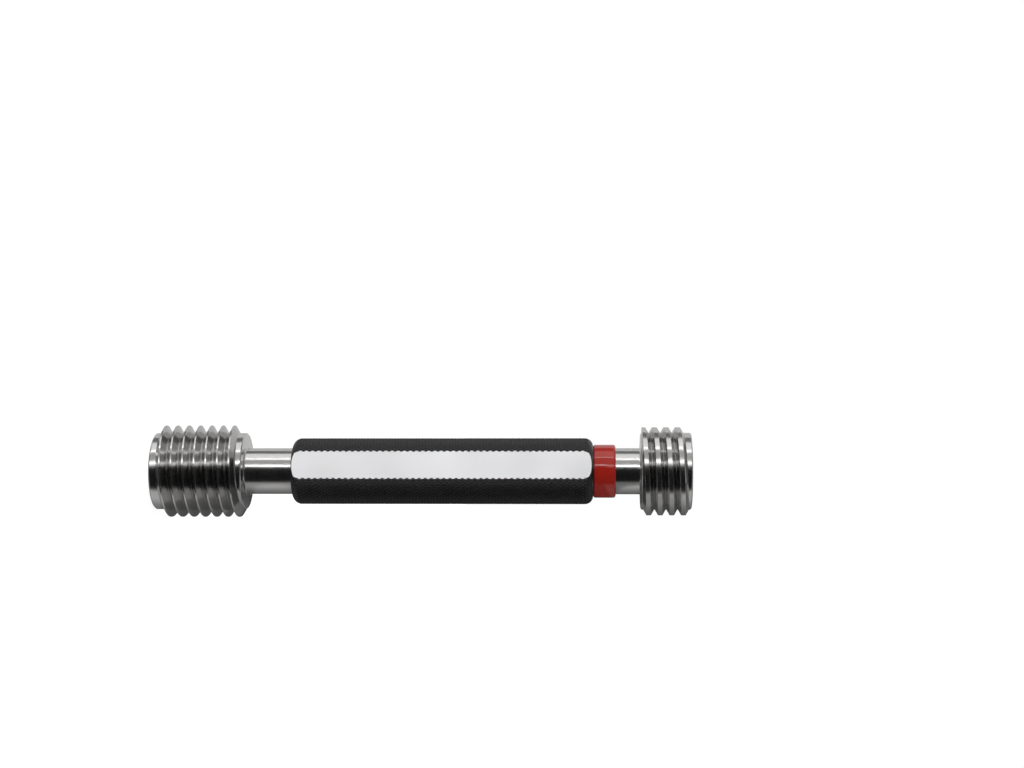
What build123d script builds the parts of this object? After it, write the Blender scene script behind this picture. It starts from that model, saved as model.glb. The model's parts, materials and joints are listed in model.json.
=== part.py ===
from build123d import *
from math import ceil, radians, tan
import os

# Double-ended thread plug gauge for an M24 x 3 - 6H internal thread, in millimetres.
# It stands on the end face of the GO head, with its axis along +Z and the NO-GO head on top.

# Thread
nominal_diameter = 24.0
pitch = 3.0
flank_angle = 60.0
thread_depth = 2.0
pitch_diameter_tolerance = 0.265
no_go_flank_height = 0.3
ridge_bite = 0.05

# Threaded heads
go_head_length = 24.0
no_go_head_length = 13.1
plain_lead = 0.35
head_chamfer = 0.3
go_thread_start_angle = 86.0
no_go_thread_start_angle = -40.0
centre_pilot_diameter = 1.0
centre_mouth_diameter = 2.12
centre_angle = 60.0
centre_depth = 2.6
drill_point_angle = 118.0

# Necks, and the spigots that hold the members in the handle
neck_diameter = 12.0
neck_length = 12.3
spigot_length = 22.0
spigot_chamfer = 0.5

# Handle
handle_diameter = 17.2
handle_length = 78.3
handle_end_radius = 2.2
across_flats = 15.4
socket_clearance = 0.01
socket_relief = 2.0
socket_mouth_chamfer = 0.3

# Marking ring on the NO-GO neck
ring_diameter = 13.8
ring_width = 5.8
ring_chamfer = 0.35
ring_clearance = 0.1

# Sizes that follow from the ones above
half_flank = tan(radians(flank_angle / 2))
sharp_height = pitch / (2 * half_flank)
core_radius = nominal_diameter / 2 - thread_depth
go_crest_radius = nominal_diameter / 2
go_pitch_radius = nominal_diameter / 2 - 3 / 8 * sharp_height
no_go_pitch_radius = go_pitch_radius + pitch_diameter_tolerance / 2
no_go_crest_radius = no_go_pitch_radius + no_go_flank_height
neck_radius = neck_diameter / 2
handle_bottom = go_head_length + neck_length
handle_top = handle_bottom + handle_length
total_length = handle_top + neck_length + no_go_head_length


def ridge_half_width(radius, pitch_radius):
    """Half the axial width of the thread ridge at a radius."""
    return pitch / 4 + (pitch_radius - radius) * half_flank


def turned(*points):
    """Solid of revolution about Z from the (radius, height) corners of its half section."""
    return revolve(make_face(Plane.XZ * Polyline(*points, close=True)), Axis.Z)


def thread_ridge(crest_radius, pitch_radius, first, last, start_angle):
    """Helical ridge whose centre line climbs from one height to another, cut off blunt at both ends."""
    base_radius = core_radius - ridge_bite
    base = ridge_half_width(base_radius, pitch_radius)
    crest = ridge_half_width(crest_radius, pitch_radius)
    corners = [(base_radius, -base), (crest_radius, -crest), (crest_radius, crest), (base_radius, base)]
    spans = ceil((last - first) / pitch)
    rise = (last - first) / spans
    helices = [
        Edge.make_helix(pitch, rise, radius, center=(0, 0, first + offset))
        for radius, offset in corners
    ]
    sides = [Face.make_surface_from_curves(helices[i - 1], helices[i]) for i in range(len(helices))]
    ends = [Face(Wire.make_polygon([helix @ end for helix in helices])) for end in (0, 1)]
    span = Solid(Shell(sides + ends))
    return Part() + [
        Pos(0, 0, i * rise) * Rot(0, 0, start_angle + i * rise / pitch * 360) * span
        for i in range(spans)
    ]


def centre_hole():
    """Centre hole of an end face: pilot drill and conical mouth."""
    mouth = centre_mouth_diameter / 2
    pilot = centre_pilot_diameter / 2
    cone_depth = (mouth - pilot) / tan(radians(centre_angle / 2))
    point = pilot / tan(radians(drill_point_angle / 2))
    return turned(
        (0, 0),
        (mouth, 0),
        (pilot, cone_depth),
        (pilot, centre_depth),
        (0, centre_depth + point),
    )


def gauge_member(head_length, ridge):
    """Threaded head with its end face at the origin, then neck and spigot along +Z."""
    tip = head_length + neck_length + spigot_length
    blank = turned(
        (0, 0),
        (core_radius - head_chamfer, 0),
        (core_radius, head_chamfer),
        (core_radius, head_length - head_chamfer),
        (core_radius - head_chamfer, head_length),
        (neck_radius, head_length),
        (neck_radius, tip - spigot_chamfer),
        (neck_radius - spigot_chamfer, tip),
        (0, tip),
    )
    return blank + ridge - centre_hole()


def go_member():
    """Long GO head with the full thread, both thread ends cut back to the plain core."""
    margin = ridge_half_width(core_radius, go_pitch_radius) + plain_lead
    ridge = thread_ridge(
        go_crest_radius,
        go_pitch_radius,
        margin,
        go_head_length - margin,
        go_thread_start_angle,
    )
    return gauge_member(go_head_length, ridge)


def no_go_member():
    """Short NO-GO head with the crests cut low, its thread running out flat at the shoulder's chamfer."""
    thread_end = no_go_head_length - head_chamfer
    ridge = thread_ridge(
        no_go_crest_radius,
        no_go_pitch_radius,
        ridge_half_width(core_radius, no_go_pitch_radius) + plain_lead,
        thread_end + ridge_half_width(no_go_crest_radius, no_go_pitch_radius),
        no_go_thread_start_angle,
    )
    thread_room = Pos(0, 0, thread_end / 2) * Cylinder(no_go_crest_radius + pitch, thread_end)
    member = gauge_member(no_go_head_length, ridge & thread_room)
    return Pos(0, 0, total_length) * Rot(180, 0, 0) * member


def socket():
    """Space of one handle socket, its mouth at the origin and its depth along +Z."""
    radius = neck_radius + socket_clearance
    depth = spigot_length + socket_relief
    return turned(
        (0, 0),
        (radius + socket_mouth_chamfer, 0),
        (radius, socket_mouth_chamfer),
        (radius, depth),
        (0, depth),
    )


def handle():
    """Round grip with rounded ends, two opposite flats facing -Y and +Y, and a socket in each end."""
    bar = Cylinder(handle_diameter / 2, handle_length)
    bar = fillet(bar.edges().filter_by(GeomType.CIRCLE), handle_end_radius)
    bar &= Box(handle_diameter, across_flats, handle_length)
    bar -= Pos(0, 0, -handle_length / 2) * socket()
    bar -= Pos(0, 0, handle_length / 2) * Rot(180, 0, 0) * socket()
    return Pos(0, 0, handle_bottom + handle_length / 2) * bar


def red_ring():
    """Marking ring on the NO-GO neck, resting on the end of the handle."""
    bore = neck_radius + ring_clearance
    outside = ring_diameter / 2
    ring = turned(
        (bore, 0),
        (outside - ring_chamfer, 0),
        (outside, ring_chamfer),
        (outside, ring_width - ring_chamfer),
        (outside - ring_chamfer, ring_width),
        (bore, ring_width),
    )
    return Pos(0, 0, handle_top) * ring


parts = {
    "go_member": go_member(),
    "no_go_member": no_go_member(),
    "handle": handle(),
    "red_ring": red_ring(),
}

os.makedirs("parts", exist_ok=True)
for node, solid in parts.items():
    export_step(solid, f"parts/{node}.step")
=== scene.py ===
import bmesh
import bpy
import json
import math
from mathutils import Matrix, Vector


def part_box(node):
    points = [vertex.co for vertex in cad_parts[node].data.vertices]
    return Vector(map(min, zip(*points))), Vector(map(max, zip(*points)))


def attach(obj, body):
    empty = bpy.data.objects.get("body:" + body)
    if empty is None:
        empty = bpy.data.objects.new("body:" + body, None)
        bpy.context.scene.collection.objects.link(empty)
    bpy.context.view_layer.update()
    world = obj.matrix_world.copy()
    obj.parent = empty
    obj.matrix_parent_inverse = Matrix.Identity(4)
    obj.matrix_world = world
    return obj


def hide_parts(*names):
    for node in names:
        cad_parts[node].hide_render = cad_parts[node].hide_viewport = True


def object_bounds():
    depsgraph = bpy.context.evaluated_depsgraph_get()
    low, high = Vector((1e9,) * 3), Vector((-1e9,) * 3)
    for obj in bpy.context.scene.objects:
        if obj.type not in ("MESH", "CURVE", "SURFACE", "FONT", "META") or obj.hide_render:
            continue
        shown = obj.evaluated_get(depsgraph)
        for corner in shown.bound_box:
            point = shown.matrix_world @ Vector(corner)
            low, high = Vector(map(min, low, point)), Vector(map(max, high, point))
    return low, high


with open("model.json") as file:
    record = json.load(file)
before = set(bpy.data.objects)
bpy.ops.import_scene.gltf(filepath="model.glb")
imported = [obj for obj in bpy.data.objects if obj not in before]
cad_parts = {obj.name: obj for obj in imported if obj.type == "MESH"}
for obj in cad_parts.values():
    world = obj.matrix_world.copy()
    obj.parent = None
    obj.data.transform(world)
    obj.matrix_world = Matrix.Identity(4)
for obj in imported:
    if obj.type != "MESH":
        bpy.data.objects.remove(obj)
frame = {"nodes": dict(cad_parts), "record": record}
cadLow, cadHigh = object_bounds()
mm = 0.001
mergeDistance = 0.001 * mm
noiseSpan = (0.3, 0.7)              # most values of a noise lie between these
mounts = {mount["name"]: mount for mount in frame["record"]["mounts"]}
print("frame loaded:", sorted(frame["nodes"]))


# shader helpers: the owner of the nodes is a material or the world

def newMaterial(name):
    material = bpy.data.materials.new(name)
    material.use_nodes = True
    return material, material.node_tree.nodes["Principled BSDF"]


def emptyMaterial(name):
    material = bpy.data.materials.new(name)
    material.use_nodes = True
    material.node_tree.nodes.clear()
    return material


def addNode(owner, kind, **settings):
    node = owner.node_tree.nodes.new(kind)
    for key, value in settings.items():
        setattr(node, key, value)
    return node


def join(owner, fromSocket, toSocket):
    owner.node_tree.links.new(fromSocket, toSocket)


def addNoise(owner, vector, scale, detail, roughness):
    noise = addNode(owner, "ShaderNodeTexNoise")
    noise.inputs["Scale"].default_value = scale
    noise.inputs["Detail"].default_value = detail
    noise.inputs["Roughness"].default_value = roughness
    join(owner, vector, noise.inputs["Vector"])
    return noise.outputs["Fac"]


def addRange(owner, value, low, high, toLow, toHigh):
    spread = addNode(owner, "ShaderNodeMapRange")
    spread.inputs["From Min"].default_value = low
    spread.inputs["From Max"].default_value = high
    spread.inputs["To Min"].default_value = toLow
    spread.inputs["To Max"].default_value = toHigh
    join(owner, value, spread.inputs["Value"])
    return spread.outputs["Result"]


def addMath(owner, operation, first, second):
    node = addNode(owner, "ShaderNodeMath", operation=operation)
    for socket, value in zip(node.inputs, (first, second)):
        if isinstance(value, (int, float)):
            socket.default_value = value
        else:
            join(owner, value, socket)
    return node.outputs["Value"]


def addShade(owner, lines, cloud, lineShare):    # fine lines and a broad cloud in one pattern
    lineShade = addMath(owner, "MULTIPLY", lines, lineShare)
    cloudShade = addMath(owner, "MULTIPLY", cloud, 1.0 - lineShare)
    return addMath(owner, "ADD", lineShade, cloudShade)


def colourBy(owner, shader, pattern, finish):
    mix = addNode(owner, "ShaderNodeMix", data_type="RGBA")
    mix.inputs["A"].default_value = (*finish["dark"], 1.0)
    mix.inputs["B"].default_value = (*finish["light"], 1.0)
    join(owner, pattern, mix.inputs["Factor"])
    join(owner, mix.outputs["Result"], shader.inputs["Base Color"])


def roughnessBy(owner, shader, pattern, finish):
    roughness = addRange(owner, pattern, *noiseSpan, finish["smooth"], finish["rough"])
    join(owner, roughness, shader.inputs["Roughness"])


def bumpBy(owner, shader, pattern, finish):
    bump = addNode(owner, "ShaderNodeBump")
    bump.inputs["Strength"].default_value = finish["bumpStrength"]
    bump.inputs["Distance"].default_value = finish["bumpDepth"]
    join(owner, pattern, bump.inputs["Height"])
    join(owner, bump.outputs["Normal"], shader.inputs["Normal"])


def objectCoordinates(owner):
    return addNode(owner, "ShaderNodeTexCoord").outputs["Object"]


def objectHeight(owner):
    split = addNode(owner, "ShaderNodeSeparateXYZ")
    join(owner, objectCoordinates(owner), split.inputs["Vector"])
    return split.outputs["Z"]


def axisRadius(owner):    # distance of a point from the gauge's axis
    flat = addNode(owner, "ShaderNodeVectorMath", operation="MULTIPLY")
    flat.inputs[1].default_value = (1.0, 1.0, 0.0)
    join(owner, objectCoordinates(owner), flat.inputs[0])
    length = addNode(owner, "ShaderNodeVectorMath", operation="LENGTH")
    join(owner, flat.outputs["Vector"], length.inputs[0])
    return length.outputs["Value"]


def turnedCoordinates(owner):    # radius and height of a point, so that a pattern runs round the axis
    turned = addNode(owner, "ShaderNodeCombineXYZ")
    join(owner, axisRadius(owner), turned.inputs["X"])
    join(owner, objectHeight(owner), turned.inputs["Z"])
    return turned.outputs["Vector"]


# mesh helpers

def carryLoop(bm, loop, stations):    # carries a loop of edges on through (radius, height) stations
    for radius, height in stations:
        grown = bmesh.ops.extrude_edge_only(bm, edges=loop)["geom"]
        loop = [item for item in grown if isinstance(item, bmesh.types.BMEdge)]
        for vert in {vert for edge in loop for vert in edge.verts}:
            vert.co.xy = vert.co.xy.normalized() * radius
            vert.co.z = height
        loop = [edge for edge in loop if edge.is_boundary]
    return loop


def turnOutline(bm, outline, steps):    # spins (radius, height) corners round the axis
    verts = [bm.verts.new((radius, 0.0, height)) for radius, height in outline]
    edges = [bm.edges.new(pair) for pair in zip(verts, verts[1:])]
    bmesh.ops.spin(
        bm, geom=verts + edges, cent=(0, 0, 0), axis=(0, 0, 1),
        angle=math.tau, steps=steps, use_merge=True,
    )
    bmesh.ops.remove_doubles(bm, verts=bm.verts[:], dist=mergeDistance)


def sharpEdges(bm, degrees):
    limit = math.radians(degrees)
    return [edge for edge in bm.edges if edge.is_manifold and edge.calc_face_angle() > limit]


def bevelEdges(bm, edges, offset, segments):
    bmesh.ops.bevel(
        bm, geom=edges, offset=offset, offset_type="OFFSET", affect="EDGES",
        segments=segments, profile=0.5, material=-1, clamp_overlap=True,
    )


def pieceFromBmesh(name, bm, materials, sharpAngle):
    bmesh.ops.recalc_face_normals(bm, faces=bm.faces[:])
    mesh = bpy.data.meshes.new(name)
    bm.to_mesh(mesh)
    bm.free()
    for material in materials:
        mesh.materials.append(material)
    mesh.shade_smooth()
    mesh.set_sharp_from_angle(angle=math.radians(sharpAngle))
    piece = bpy.data.objects.new(name, mesh)
    bpy.context.scene.collection.objects.link(piece)
    return piece


def standFor(piece, node):
    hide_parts(node)
    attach(piece, "root")
    print(piece.name, "stands for", node, "with", len(piece.data.polygons), "faces")


# threaded members

member = {
    "pitch": 3.0 * mm,
    "flankAngle": 60.0,
    "coreRadius": 10.0 * mm,
    "ridgeBite": 0.6 * mm,          # how far the ridge reaches into the core
    "plainLead": 0.35 * mm,
    "headChamfer": 0.3 * mm,
    "neckRadius": 6.0 * mm,
    "neckFillet": 0.5 * mm,
    "neckFilletSteps": 5,
    "spigotChamfer": 0.5 * mm,
    "centreMouth": 1.06 * mm,
    "centrePilot": 0.5 * mm,
    "centreCone": 0.97 * mm,
    "centreDepth": 2.6 * mm,
    "centrePoint": 0.3 * mm,
    "edgeBreak": 0.05 * mm,
    "edgeBreakSteps": 2,
    "edgeAngle": 20.0,              # edges sharper than this are broken
    "flankTilt": 0.5,               # a flank's normal leans along the axis by at least this
    "rootTolerance": 0.02 * mm,
    "weldDistance": 0.0005 * mm,
    "stepsAround": 144,
    "sharpAngle": 14.0,
}
heads = {
    "go_member": {
        "piece": "go_member_ground",
        "thread": "go_thread",
        "pitchRadius": 11.0257 * mm,
        "startAngle": 86.0,
        "noGo": False,
    },
    "no_go_member": {
        "piece": "no_go_member_ground",
        "thread": "no_go_thread",
        "pitchRadius": 11.1582 * mm,
        "startAngle": -40.0,
        "noGo": True,
    },
}
steelGrain = {                      # a noise is given by its scale, detail and roughness
    "lines": (9000.0, 2.0, 0.6),    # grinding lines, about 0.1 mm
    "cloud": (160.0, 3.0, 0.55),
    "lineShare": 0.45,
    "bumpStrength": 0.10,
    "bumpDepth": 0.004 * mm,
}
# flanks and roots are darker copies of the ground steel: painted shade in the thread; their roughness is
# the finish
steels = {
    "gauge_steel_ground": {
        "dark": (0.60, 0.59, 0.58),
        "light": (0.74, 0.735, 0.73),
        "smooth": 0.15,
        "rough": 0.24,
    },
    "gauge_steel_flanks_painted_shade": {
        "dark": (0.50, 0.49, 0.48),
        "light": (0.62, 0.615, 0.61),
        "smooth": 0.12,
        "rough": 0.18,
    },
    "gauge_steel_roots_painted_shade": {
        "dark": (0.30, 0.295, 0.29),
        "light": (0.42, 0.415, 0.41),
        "smooth": 0.24,
        "rough": 0.34,
    },
}
groundSlot, flankShadeSlot, rootShadeSlot = range(len(steels))


def makeGaugeSteel(name, finish):
    steel, shader = newMaterial(name)
    lines = addNoise(steel, turnedCoordinates(steel), *steelGrain["lines"])
    cloud = addNoise(steel, objectCoordinates(steel), *steelGrain["cloud"])
    shade = addShade(steel, lines, cloud, steelGrain["lineShare"])
    colourBy(steel, shader, shade, finish)
    roughnessBy(steel, shader, shade, finish)
    bumpBy(steel, shader, lines, steelGrain)
    shader.inputs["Metallic"].default_value = 1.0
    return steel


def ridgeHalfWidth(radius, pitchRadius):
    slope = math.tan(math.radians(member["flankAngle"] / 2))
    return member["pitch"] / 4 + (pitchRadius - radius) * slope


def memberBody(headLength, tip):
    neck, core, chamfer = member["neckRadius"], member["coreRadius"], member["headChamfer"]
    deep = member["centreDepth"]
    bm = bmesh.new()
    turnOutline(bm, [
        (0.0, deep + member["centrePoint"]),
        (member["centrePilot"], deep),
        (member["centrePilot"], member["centreCone"]),
        (member["centreMouth"], 0.0),
        (core - chamfer, 0.0),
        (core, chamfer),
        (core, headLength - chamfer),
        (core - chamfer, headLength),
        (neck, headLength),
        (neck, tip - member["spigotChamfer"]),
        (neck - member["spigotChamfer"], tip),
        (0.0, tip),
    ], member["stepsAround"])
    bmesh.ops.recalc_face_normals(bm, faces=bm.faces[:])
    sharp = sharpEdges(bm, member["edgeAngle"])
    near = chamfer / 2
    shoulder = [
        edge for edge in sharp
        if all(abs(vert.co.xy.length - neck) < near for vert in edge.verts)
        and all(abs(vert.co.z - headLength) < near for vert in edge.verts)
    ]
    mouth = member["centreMouth"] - member["edgeBreak"]
    outside = [
        edge for edge in sharp
        if edge not in shoulder and all(vert.co.xy.length > mouth for vert in edge.verts)
    ]
    bevelEdges(bm, shoulder, member["neckFillet"], member["neckFilletSteps"])
    outside = [edge for edge in outside if edge.is_valid]
    bevelEdges(bm, outside, member["edgeBreak"], member["edgeBreakSteps"])
    return pieceFromBmesh("member_body", bm, [], member["sharpAngle"])


def memberRidge(crestRadius, pitchRadius, first, last, startAngle):
    core = member["coreRadius"]
    inner = core - member["ridgeBite"]
    rootWidth = ridgeHalfWidth(core, pitchRadius)
    crestWidth = ridgeHalfWidth(crestRadius, pitchRadius)
    turns = (last - first) / member["pitch"]
    steps = round(turns * member["stepsAround"])
    bm = bmesh.new()
    corners = [
        (inner, -rootWidth),
        (core, -rootWidth),
        (crestRadius, -crestWidth),
        (crestRadius, crestWidth),
        (core, rootWidth),
        (inner, rootWidth),
    ]
    section = bm.faces.new([bm.verts.new((radius, 0.0, first + height)) for radius, height in corners])
    bmesh.ops.rotate(bm, verts=bm.verts[:], matrix=Matrix.Rotation(math.radians(startAngle), 3, "Z"))
    bmesh.ops.spin(
        bm, geom=[section], cent=(0, 0, 0), axis=(0, 0, 1), angle=math.tau * turns,
        steps=steps, dvec=(0, 0, (last - first) / steps),
    )
    bmesh.ops.holes_fill(bm, edges=bm.edges[:])
    bmesh.ops.recalc_face_normals(bm, faces=bm.faces[:])
    nearCrest = crestRadius - member["edgeBreak"]
    crest = [
        edge for edge in sharpEdges(bm, member["edgeAngle"])
        if all(vert.co.xy.length > nearCrest for vert in edge.verts)
    ]
    bevelEdges(bm, crest, member["edgeBreak"], member["edgeBreakSteps"])
    return pieceFromBmesh("member_ridge", bm, [], member["sharpAngle"])


def threadRoom(height, crestRadius):    # the thread stops where this room ends
    radius = crestRadius + member["pitch"]
    bm = bmesh.new()
    bmesh.ops.create_cone(
        bm, cap_ends=True, segments=member["stepsAround"], depth=height, radius1=radius, radius2=radius,
    )
    bmesh.ops.translate(bm, verts=bm.verts[:], vec=(0, 0, height / 2))
    return pieceFromBmesh("thread_room", bm, [], member["sharpAngle"])


def combine(first, second, operation):
    change = first.modifiers.new(operation.lower(), "BOOLEAN")
    change.operation = operation
    change.solver = "EXACT"
    change.object = second
    bpy.context.view_layer.update()
    evaluated = first.evaluated_get(bpy.context.evaluated_depsgraph_get())
    mesh = bpy.data.meshes.new_from_object(evaluated)
    first.modifiers.clear()
    first.data = mesh
    bpy.data.objects.remove(second)
    return first


def pickSteel(face, threadEnd):    # flanks, the root between the ridges, and the rest; flanks and roots take the darker steels, painted shade
    core, edgeBreak = member["coreRadius"], member["edgeBreak"]
    radius = face.calc_center_median().xy.length
    if abs(face.normal.z) > member["flankTilt"] and radius > core:
        return flankShadeSlot
    low, high = member["plainLead"] + edgeBreak, threadEnd - edgeBreak
    inThread = all(low < vert.co.z < high for vert in face.verts)
    if abs(radius - core) < member["rootTolerance"] and inThread:
        return rootShadeSlot
    return groundSlot


def makeMember(node, head, materials):
    low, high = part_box(node)
    size = mounts[head["thread"]]["dims"]
    headLength, crestRadius = size["length_mm"] * mm, size["r_mm"] * mm
    pitchRadius = head["pitchRadius"]
    first = ridgeHalfWidth(member["coreRadius"], pitchRadius) + member["plainLead"]
    last = headLength - first
    threadEnd = headLength - member["headChamfer"] - member["edgeBreak"]
    if head["noGo"]:    # this thread runs out at the shoulder
        last = threadEnd + ridgeHalfWidth(crestRadius, pitchRadius)
    body = memberBody(headLength, high.z - low.z)
    ridge = memberRidge(crestRadius, pitchRadius, first, last, head["startAngle"])
    if head["noGo"]:
        ridge = combine(ridge, threadRoom(threadEnd, crestRadius), "INTERSECT")
    whole = combine(body, ridge, "UNION")
    bm = bmesh.new()
    bm.from_mesh(whole.data)
    bpy.data.objects.remove(whole)
    bmesh.ops.remove_doubles(bm, verts=bm.verts[:], dist=member["weldDistance"])
    for face in bm.faces:
        face.material_index = pickSteel(face, threadEnd)
    bmesh.ops.triangulate(bm, faces=[face for face in bm.faces if len(face.verts) > 4])
    bmesh.ops.dissolve_degenerate(bm, edges=bm.edges[:], dist=mergeDistance)
    if head["noGo"]:    # it points the other way, from the top end down
        bmesh.ops.rotate(bm, verts=bm.verts[:], matrix=Matrix.Rotation(math.pi, 3, "X"))
        bmesh.ops.translate(bm, verts=bm.verts[:], vec=(0, 0, high.z))
    piece = pieceFromBmesh(head["piece"], bm, materials, member["sharpAngle"])
    standFor(piece, node)


memberSteels = [makeGaugeSteel(name, finish) for name, finish in steels.items()]
for nodeName, headSizes in heads.items():
    makeMember(nodeName, headSizes, memberSteels)


# knurled handle

handle = {
    "endRadius": 2.2 * mm,
    "knurlCount": 58,               # diamonds around the bar
    "knurlPitch": 1.6 * mm,         # length of one diamond along the bar
    "knurlDepth": 0.20 * mm,
    "knurlFlank": 0.29 * mm,        # width of the slope round each diamond
    "runOut": 1.1 * mm,             # the knurl fades into the rounding here
    "socketRadius": 6.01 * mm,
    "socketChamfer": 0.3 * mm,
    "socketDepth": 24.0 * mm,
    "roundingSteps": 6,
    "sharpAngle": 20.0,
}
blackKnurl = {
    "rubbed": (420.0, 4.0, 0.65),
    "tipDepth": 0.06 * mm,          # the outermost part of a diamond wears first
    "wearSpan": (0.42, 0.72),
    "dark": (0.012, 0.012, 0.0125),
    "light": (0.045, 0.045, 0.046),
    "smooth": 0.34,
    "rough": 0.5,
    "pores": (14000.0, 2.0, 0.6),
    "bumpStrength": 0.12,
    "bumpDepth": 0.01 * mm,
}
brightFlat = {
    "lines": (5200.0, 3.0, 0.6),
    "lineStretch": (1.0, 1.0, 0.012),       # milling lines run along the bar
    "cloud": (110.0, 3.0, 0.5),
    "lineShare": 0.3,
    "dark": (0.70, 0.70, 0.715),
    "light": (0.765, 0.765, 0.775),
    "smooth": 0.31,
    "rough": 0.38,
    "bumpStrength": 0.06,
    "bumpDepth": 0.004 * mm,
}
knurlSlot, flatSlot = 0, 1


def makeBlackKnurl():
    black, shader = newMaterial("handle_black_knurl")
    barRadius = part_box("handle")[1].x
    tips = addRange(black, axisRadius(black), barRadius - blackKnurl["tipDepth"], barRadius, 0.0, 1.0)
    rubbed = addNoise(black, objectCoordinates(black), *blackKnurl["rubbed"])
    worn = addRange(black, rubbed, *blackKnurl["wearSpan"], 0.0, 1.0)
    colourBy(black, shader, addMath(black, "MULTIPLY", tips, worn), blackKnurl)
    roughnessBy(black, shader, rubbed, blackKnurl)
    bumpBy(black, shader, addNoise(black, objectCoordinates(black), *blackKnurl["pores"]), blackKnurl)
    return black


def makeBrightFlat():
    bright, shader = newMaterial("handle_bright_flat")
    stretched = addNode(bright, "ShaderNodeMapping")
    stretched.inputs["Scale"].default_value = brightFlat["lineStretch"]
    join(bright, objectCoordinates(bright), stretched.inputs["Vector"])
    lines = addNoise(bright, stretched.outputs["Vector"], *brightFlat["lines"])
    cloud = addNoise(bright, objectCoordinates(bright), *brightFlat["cloud"])
    shade = addShade(bright, lines, cloud, brightFlat["lineShare"])
    colourBy(bright, shader, shade, brightFlat)
    roughnessBy(bright, shader, shade, brightFlat)
    bumpBy(bright, shader, lines, brightFlat)
    shader.inputs["Metallic"].default_value = 1.0
    return bright


def knurledSleeve(barRadius, start, stop):    # raised diamonds on a tube that is open at both ends
    pit = barRadius - handle["knurlDepth"]
    rows = round((stop - start) / handle["knurlPitch"])
    bm = bmesh.new()
    foot, top = bm.verts.new((pit, 0, start)), bm.verts.new((pit, 0, stop))
    bmesh.ops.subdivide_edges(bm, edges=[bm.edges.new((foot, top))], cuts=rows - 1)
    bmesh.ops.spin(
        bm, geom=bm.verts[:] + bm.edges[:], cent=(0, 0, 0), axis=(0, 0, 1),
        angle=math.tau, steps=handle["knurlCount"], use_merge=True,
    )
    bmesh.ops.remove_doubles(bm, verts=bm.verts[:], dist=mergeDistance)
    bmesh.ops.recalc_face_normals(bm, faces=bm.faces[:])
    gridEdges = [edge for edge in bm.edges if len(edge.link_faces) == 2]
    bmesh.ops.poke(bm, faces=bm.faces[:])
    bmesh.ops.dissolve_edges(bm, edges=gridEdges, use_verts=False)
    for vert in bm.verts:
        vert.co.xy = vert.co.xy.normalized() * pit
    bmesh.ops.inset_individual(
        bm, faces=[face for face in bm.faces if len(face.verts) == 4],
        thickness=handle["knurlFlank"], depth=handle["knurlDepth"], use_even_offset=True,
    )
    return bm


def makeHandle(black, bright):
    low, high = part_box("handle")
    barRadius, halfAcross, rounding = high.x, high.y, handle["endRadius"]
    middle = (low.z + high.z) / 2

    def endLimit(height):    # radius of the rounded end at a height
        inside = min(height - low.z, high.z - height)
        if inside >= rounding:
            return barRadius
        return barRadius - rounding + math.sqrt(rounding ** 2 - (rounding - inside) ** 2)

    bm = knurledSleeve(barRadius, low.z + handle["runOut"], high.z - handle["runOut"])
    for vert in bm.verts:
        reach = min(vert.co.xy.length, endLimit(vert.co.z))
        vert.co.xy = vert.co.xy.normalized() * reach
    socket, mouth = handle["socketRadius"], handle["socketRadius"] + handle["socketChamfer"]
    shares = [step / handle["roundingSteps"] for step in range(1, handle["roundingSteps"] + 1)]
    depths = [handle["runOut"] * (1 - share) ** 2 for share in shares]      # closer together at the end
    for end, inward in ((low.z, 1), (high.z, -1)):    # rounding, end face and socket
        rim = [
            edge for edge in bm.edges
            if edge.is_boundary and all((vert.co.z - middle) * inward < 0 for vert in edge.verts)
        ]
        stations = [(endLimit(end + inward * depth), end + inward * depth) for depth in depths]
        stations += [
            (mouth, end),
            (socket, end + inward * handle["socketChamfer"]),
            (socket, end + inward * handle["socketDepth"]),
        ]
        bmesh.ops.edgeloop_fill(bm, edges=carryLoop(bm, rim, stations))
    for side in (-1, 1):    # the two milled flats
        cut = bmesh.ops.bisect_plane(
            bm, geom=bm.verts[:] + bm.edges[:] + bm.faces[:],
            plane_co=(0, side * halfAcross, 0), plane_no=(0, side, 0), clear_outer=True,
        )
        rim = [item for item in cut["geom_cut"] if isinstance(item, bmesh.types.BMEdge)]
        made = bmesh.ops.edgeloop_fill(bm, edges=[edge for edge in rim if edge.is_boundary])
        for face in made["faces"]:
            face.material_index = flatSlot
    piece = pieceFromBmesh("handle_knurled", bm, [black, bright], handle["sharpAngle"])
    for face in piece.data.polygons:
        face.use_smooth = face.material_index == knurlSlot
    standFor(piece, "handle")


makeHandle(makeBlackKnurl(), makeBrightFlat())


# red marking ring

ring = {
    "bore": 6.1 * mm,
    "chamfer": 0.35 * mm,
    "edgeRound": 0.16 * mm,
    "edgeRoundSteps": 3,
    "edgeAngle": 30.0,
    "stepsAround": 128,
    "sharpAngle": 25.0,
}
redGloss = {
    "cloud": (240.0, 3.0, 0.5),
    "dark": (0.29, 0.014, 0.008),
    "light": (0.34, 0.018, 0.011),
    "smooth": 0.07,
    "rough": 0.11,
    "coat": 0.25,
    "coatRoughness": 0.05,
    "ripple": (2600.0, 2.0, 0.5),
    "bumpStrength": 0.05,
    "bumpDepth": 0.01 * mm,
}


def makeRedGloss():
    red, shader = newMaterial("ring_red_gloss")
    cloud = addNoise(red, objectCoordinates(red), *redGloss["cloud"])
    colourBy(red, shader, cloud, redGloss)
    roughnessBy(red, shader, cloud, redGloss)
    bumpBy(red, shader, addNoise(red, objectCoordinates(red), *redGloss["ripple"]), redGloss)
    shader.inputs["Coat Weight"].default_value = redGloss["coat"]
    shader.inputs["Coat Roughness"].default_value = redGloss["coatRoughness"]
    return red


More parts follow.
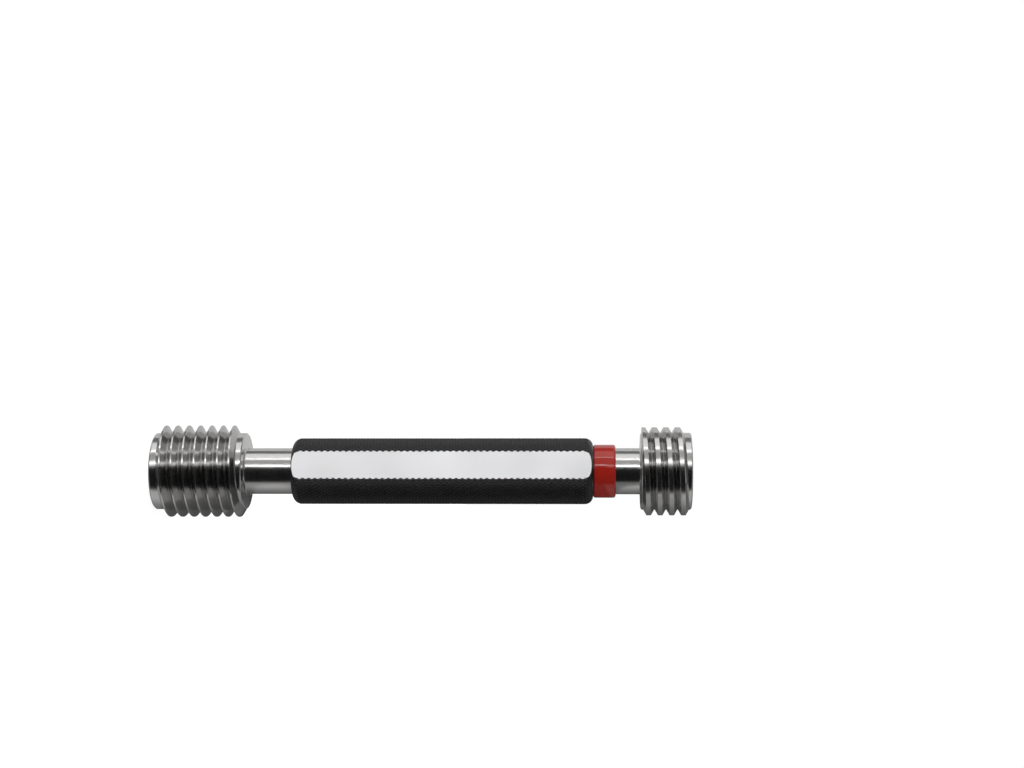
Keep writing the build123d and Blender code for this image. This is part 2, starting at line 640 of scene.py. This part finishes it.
def makeRing(red):
    low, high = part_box("red_ring")
    outside, bore, chamfer = high.x, ring["bore"], ring["chamfer"]
    bm = bmesh.new()
    turnOutline(bm, [
        (bore, low.z),
        (outside - chamfer, low.z),
        (outside, low.z + chamfer),
        (outside, high.z - chamfer),
        (outside - chamfer, high.z),
        (bore, high.z),
        (bore, low.z),
    ], ring["stepsAround"])
    bmesh.ops.recalc_face_normals(bm, faces=bm.faces[:])
    bevelEdges(bm, sharpEdges(bm, ring["edgeAngle"]), ring["edgeRound"], ring["edgeRoundSteps"])
    piece = pieceFromBmesh("red_ring_gloss", bm, [red], ring["sharpAngle"])
    piece.visible_glossy = False    # the ground steel beside it shows no red
    standFor(piece, "red_ring")


makeRing(makeRedGloss())


# camera, as the photograph sees the gauge: its axis lies across the picture, GO head to the left

camera = {
    "lens": 62.4,
    "sensor": 36.0,
    "clipStart": 0.01,
    "place": Vector((97.6, -453.1, 111.6)) * mm,
    "lookAt": Vector((-23.2, -1.3, 93.3)) * mm,
    "pictureRight": Vector((0.0015, 0.0, 1.0)),
}


def makeCamera():
    data = bpy.data.cameras.new("camera")
    data.lens = camera["lens"]
    data.sensor_width = camera["sensor"]
    data.clip_start = camera["clipStart"]
    cameraObject = bpy.data.objects.new("camera", data)
    back = (camera["place"] - camera["lookAt"]).normalized()
    up = back.cross(camera["pictureRight"]).normalized()
    turn = Matrix((up.cross(back), up, back)).transposed()
    cameraObject.matrix_world = Matrix.Translation(camera["place"]) @ turn.to_4x4()
    bpy.context.scene.collection.objects.link(cameraObject)
    bpy.context.scene.camera = cameraObject


makeCamera()
print("camera placed")


# studio: white floor and world, soft lamps, and cards that only reflections show

studio = {
    "cameraAzimuth": 12.2,          # where the camera stands round the gauge, from -Y towards +X
    "ambient": 0.45,
    "cardStep": 4.0,                # degrees between the edges of a curved card
    "cardLeastSteps": 4,
    "sharpAngle": 30.0,
}
floor = {
    "size": 40.0,
    "white": 0.85,
    "shadowed": 0.25,               # share of the floor's own shading that the camera sees
    "glow": 0.9,
}
shell = {                           # dim studio round the cards
    "radius": 0.80,
    "low": -0.9,
    "high": 1.1,
    "glow": 0.16,
    "topGlow": 0.32,
    "from": -62.0,
    "to": 122.0,
    "segments": 48,
}
topFlag = {                         # dark sector of the shell's top, on the camera's side
    "from": -100.0,
    "to": 40.0,
    "near": 0.12,
    "far": 0.78,
    "drop": 0.01,
    "glow": 0.12,
}
table = {                           # glowing card for the near half of the surface that the gauge lies on, with the gauge's shadow painted into its glow
    "angle": -150.0,                # side of the gauge that it lies against
    "distance": 12.6 * mm,
    "width": 0.75,
    "shadedGlow": 0.06,
    "litGlow": 0.50,
    "shadeReach": 33.0 * mm,        # how far the gauge darkens it
    "handleShade": 0.33,            # what is left of its light under the handle and the ring
    "headShade": 0.60,              # and under the two heads
    "fade": 1.5 * mm,
}
cards = {                           # from and to, in degrees round from the camera, distance, ends, glow
    "upper_panel": (64.0, 96.0, 0.75, -0.35, 0.55, 0.97),
    "far_panel": (64.0, 96.0, 0.75, -0.9, -0.35, 0.55),
    "upper_strip": (60.5, 64.0, 0.74, -0.9, 0.55, 3.6),
    "middle_panel": (32.0, 64.0, 0.75, -0.9, 0.55, 0.43),
    "front_strip": (25.0, 28.5, 0.74, -0.128, 0.155, 6.4),
    "front_panel": (19.5, 32.0, 0.75, -0.128, 0.155, 0.50),
    "black_flag": (-55.0, 18.5, 0.75, -0.128, 0.155, 0.010),
    "go_strip": (20.5, 28.5, 0.74, -0.9, -0.128, 2.6),      # the heads see these
    "go_panel": (14.5, 32.0, 0.75, -0.9, -0.128, 0.50),
    "go_flag": (-55.0, 13.5, 0.75, -0.9, -0.128, 0.010),
    "no_go_strip": (20.5, 28.5, 0.74, 0.155, 0.55, 2.6),
    "no_go_panel": (14.5, 32.0, 0.75, 0.155, 0.55, 0.50),
    "no_go_flag": (-55.0, 13.5, 0.75, 0.155, 1.1, 0.010),
    "back_card": (126.0, 212.0, 0.75, -0.9, 1.1, 0.60),
}
lamps = {                           # degrees round from the camera, height, distance, size, power
    "key_lamp": (60.0, 0.45, 1.0, 0.8, 8.0),
    "fill_lamp": (-70.0, 0.35, 1.1, 0.9, 0.9),
    "back_lamp": (175.0, 0.45, 1.1, 0.9, 4.0),
}


def glowMaterial(name, strength):
    material = emptyMaterial(name)
    glow = addNode(material, "ShaderNodeEmission")
    glow.inputs["Strength"].default_value = strength
    out = addNode(material, "ShaderNodeOutputMaterial")
    join(material, glow.outputs["Emission"], out.inputs["Surface"])
    return material


def placeCard(name, bm, material):    # seen in reflections only
    card = pieceFromBmesh(name, bm, [material], studio["sharpAngle"])
    card.visible_camera = False
    card.visible_diffuse = False
    card.visible_shadow = False


def roundFromCamera(angle):    # direction at an angle round the gauge from the camera
    azimuth = math.radians(studio["cameraAzimuth"] - angle)
    return Vector((math.sin(azimuth), -math.cos(azimuth), 0.0))


def makeCard(name, fromAngle, toAngle, ends, strength):    # sweeps an edge, given by (radius, height) ends
    start = roundFromCamera(fromAngle)
    bm = bmesh.new()
    verts = [bm.verts.new((start.x * radius, start.y * radius, height)) for radius, height in ends]
    bmesh.ops.spin(
        bm, geom=[*verts, bm.edges.new(verts)], cent=(0, 0, 0), axis=(0, 0, 1),
        angle=math.radians(fromAngle - toAngle),
        steps=max(studio["cardLeastSteps"], round((toAngle - fromAngle) / studio["cardStep"])),
    )
    placeCard(name, bm, glowMaterial(name, strength))


def makeCards():
    for name, (fromAngle, toAngle, distance, low, high, glow) in cards.items():
        makeCard(name, fromAngle, toAngle, ((distance, low), (distance, high)), glow)


def makeShell():
    radius, low, high = shell["radius"], shell["low"], shell["high"]
    makeCard("shell_wall", shell["from"], shell["to"], ((radius, low), (radius, high)), shell["glow"])
    for name, height, glow in (("shell_foot", low, shell["glow"]), ("shell_top", high, shell["topGlow"])):
        bm = bmesh.new()
        bmesh.ops.create_circle(bm, cap_ends=True, segments=shell["segments"], radius=radius)
        bmesh.ops.translate(bm, verts=bm.verts[:], vec=(0, 0, height))
        placeCard(name, bm, glowMaterial(name, glow))


def makeTopFlag():    # keeps the bright top out of the edges that face the NO-GO end
    height = shell["high"] - topFlag["drop"]
    ends = ((topFlag["near"], height), (topFlag["far"], height))
    makeCard("top_flag", topFlag["from"], topFlag["to"], ends, topFlag["glow"])


def makeTableShadowGlow(along):    # painted shadow: darker close to the gauge, and darkest under its thick parts
    material = glowMaterial("table_card_painted_shadow", 1.0)
    away = addNode(material, "ShaderNodeVectorMath", operation="DOT_PRODUCT")
    away.inputs[1].default_value = along
    join(material, objectCoordinates(material), away.inputs[0])
    light = addRange(
        material, away.outputs["Value"], 0.0, table["shadeReach"], table["shadedGlow"], table["litGlow"],
    )
    height = objectHeight(material)
    fade, length = table["fade"], cadHigh.z
    goLength, noGoLength = [
        mounts[head["thread"]]["dims"]["length_mm"] * mm for head in heads.values()
    ]
    shadows = (
        (0.0, goLength, table["headShade"]),
        (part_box("handle")[0].z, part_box("red_ring")[1].z - fade, table["handleShade"]),
        (length - noGoLength, length, table["headShade"]),
    )
    for shadeFrom, shadeTo, left in shadows:
        before = addRange(material, height, shadeFrom - fade, shadeFrom, 1.0, left)
        after = addRange(material, height, shadeTo, shadeTo + fade, left, 1.0)
        light = addMath(material, "MULTIPLY", light, addMath(material, "MAXIMUM", before, after))
    join(material, light, material.node_tree.nodes["Emission"].inputs["Strength"])
    return material


def makeTableCard():
    along = roundFromCamera(table["angle"] + 90)
    middle = roundFromCamera(table["angle"]) * table["distance"]
    far = middle + along * table["width"]
    low, high = shell["low"], shell["high"]
    bm = bmesh.new()
    corners = ((middle, low), (far, low), (far, high), (middle, high))
    bm.faces.new([bm.verts.new((place.x, place.y, height)) for place, height in corners])
    placeCard("table_card_painted_shadow", bm, makeTableShadowGlow(along))


def makeFloor():
    white = emptyMaterial("floor_white")
    seen = addNode(white, "ShaderNodeLightPath").outputs["Is Camera Ray"]
    matt = addNode(white, "ShaderNodeBsdfDiffuse")
    join(white, addRange(white, seen, 0.0, 1.0, floor["white"], floor["shadowed"]), matt.inputs["Color"])
    glow = addNode(white, "ShaderNodeEmission")
    join(white, addMath(white, "MULTIPLY", seen, floor["glow"]), glow.inputs["Strength"])
    both = addNode(white, "ShaderNodeAddShader")
    join(white, matt.outputs["BSDF"], both.inputs[0])
    join(white, glow.outputs["Emission"], both.inputs[1])
    out = addNode(white, "ShaderNodeOutputMaterial")
    join(white, both.outputs["Shader"], out.inputs["Surface"])
    bm = bmesh.new()
    bmesh.ops.create_grid(bm, x_segments=1, y_segments=1, size=floor["size"])
    piece = pieceFromBmesh("floor", bm, [white], studio["sharpAngle"])
    piece.visible_glossy = False


def makeWorld():    # white where it is seen, and a plain ambient light elsewhere
    world = bpy.data.worlds.new("world")
    bpy.context.scene.world = world
    world.use_nodes = True
    background = world.node_tree.nodes["Background"]
    background.inputs["Color"].default_value = (1.0, 1.0, 1.0, 1.0)
    rays = addNode(world, "ShaderNodeLightPath").outputs
    seen = addMath(world, "MAXIMUM", rays["Is Camera Ray"], rays["Is Glossy Ray"])
    seen = addMath(world, "MAXIMUM", seen, rays["Is Transmission Ray"])
    join(world, addRange(world, seen, 0.0, 1.0, studio["ambient"], 1.0), background.inputs["Strength"])


def makeLamp(name, angle, height, distance, size, power):
    lamp = bpy.data.lights.new(name, "AREA")
    lamp.shape = "RECTANGLE"
    lamp.size = size
    lamp.size_y = size
    lamp.energy = power
    place = roundFromCamera(angle) * distance
    place.z = height
    aim = (cadLow + cadHigh) / 2 - place
    lampObject = bpy.data.objects.new(name, lamp)
    turn = aim.to_track_quat("-Z", "Y").to_matrix()
    lampObject.matrix_world = Matrix.Translation(place) @ turn.to_4x4()
    lampObject.visible_glossy = False
    bpy.context.scene.collection.objects.link(lampObject)


makeFloor()
makeWorld()
makeShell()
makeTopFlag()
makeTableCard()
makeCards()
for lampName, lampSetting in lamps.items():
    makeLamp(lampName, *lampSetting)
bpy.context.scene.view_settings.view_transform = "Standard"
print("studio ready")
